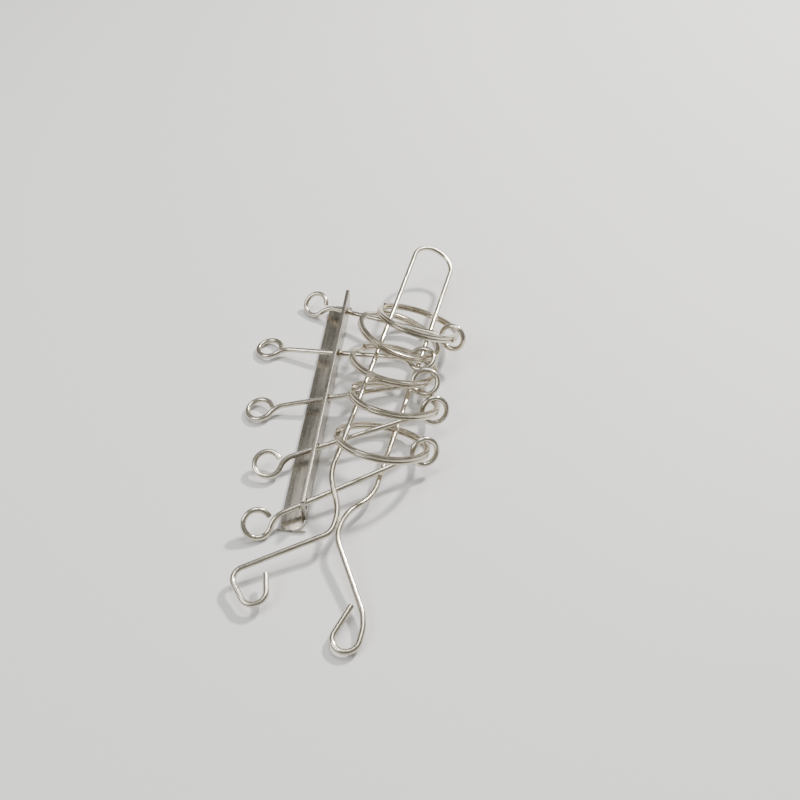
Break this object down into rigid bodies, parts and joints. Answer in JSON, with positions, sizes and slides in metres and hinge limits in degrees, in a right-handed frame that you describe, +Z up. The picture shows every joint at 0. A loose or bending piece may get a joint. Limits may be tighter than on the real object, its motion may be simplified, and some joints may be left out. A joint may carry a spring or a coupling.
{
  "type": "ring disentanglement puzzle",
  "caption": "Bent-wire disentanglement puzzle: wire posts with eyes through an angle strip, split rings in the eyes, threaded on a long looped shuttle with curled feet",
  "frame": {"origin": "on the underside of the bar, below its upright web and level with the middle hole", "axes": "+Y along the bar toward the shuttle's closed end, +X toward the rings, +Z up from the table"},
  "size_m": [0.0609, 0.1356, 0.0168],
  "materials": {
    "strip": "rolled steel angle strip, satin",
    "wire": "nickel plated bent wire, bright",
    "rings": "nickel plated split rings, bright"
  },
  "bodies": {
    "bar": {"bar": "strip"},
    "post_1": {"post_1": "wire"},
    "post_2": {"post_2": "wire"},
    "post_3": {"post_3": "wire"},
    "post_4": {"post_4": "wire"},
    "post_5": {"post_5": "wire"},
    "ring_1": {"ring_1": "rings"},
    "ring_2": {"ring_2": "rings"},
    "ring_3": {"ring_3": "rings"},
    "ring_4": {"ring_4": "rings"},
    "ring_5": {"ring_5": "rings"},
    "shuttle": {"shuttle": "wire"}
  },
  "joints": [
    {"name": "post_1_slide", "type": "slide", "parent": "bar", "child": "post_1", "axis": [0.9193, -0.3714, 0.1305], "range_m": [-0.001, 0.001]},
    {"name": "post_2_slide", "type": "slide", "parent": "bar", "child": "post_2", "axis": [0.9789, -0.1463, 0.1426], "range_m": [-0.0003, 0.0008]},
    {"name": "post_3_slide", "type": "slide", "parent": "bar", "child": "post_3", "axis": [0.9725, 0.1802, 0.1478], "range_m": [-0.001, 0.0008]},
    {"name": "post_4_slide", "type": "slide", "parent": "bar", "child": "post_4", "axis": [0.9058, 0.4128, 0.0958], "range_m": [-0.0018, 0.001]},
    {"name": "post_5_slide", "type": "slide", "parent": "bar", "child": "post_5", "axis": [0.846, 0.5286, 0.0698], "range_m": [-0.0018, 0.0002]},
    {"name": "ring_1_spin", "type": "hinge", "parent": "post_1", "child": "ring_1", "pos_m": [0.02253, 0.02735, 0.00983], "axis": [0.2575, 0.4286, 0.866], "continuous": true},
    {"name": "ring_2_spin", "type": "hinge", "parent": "post_2", "child": "ring_2", "pos_m": [0.01748, 0.02296, 0.00825], "axis": [0.3407, 0.2759, 0.8988], "continuous": true},
    {"name": "ring_3_spin", "type": "hinge", "parent": "post_3", "child": "ring_3", "pos_m": [0.01717, 0.01129, 0.00791], "axis": [0.1847, 0.3624, 0.9135], "continuous": true},
    {"name": "ring_4_spin", "type": "hinge", "parent": "post_4", "child": "ring_4", "pos_m": [0.01875, -0.0022, 0.00827], "axis": [0.1373, 0.449, 0.8829], "continuous": true},
    {"name": "ring_5_spin", "type": "hinge", "parent": "post_5", "child": "ring_5", "pos_m": [0.01716, -0.01746, 0.00809], "axis": [0.1294, 0.483, 0.866], "continuous": true},
    {"name": "shuttle_slide", "type": "slide", "parent": "bar", "child": "shuttle", "axis": [0.1563, 0.9867, 0.0436], "range_m": [-0.016, 0.004]}
  ]
}
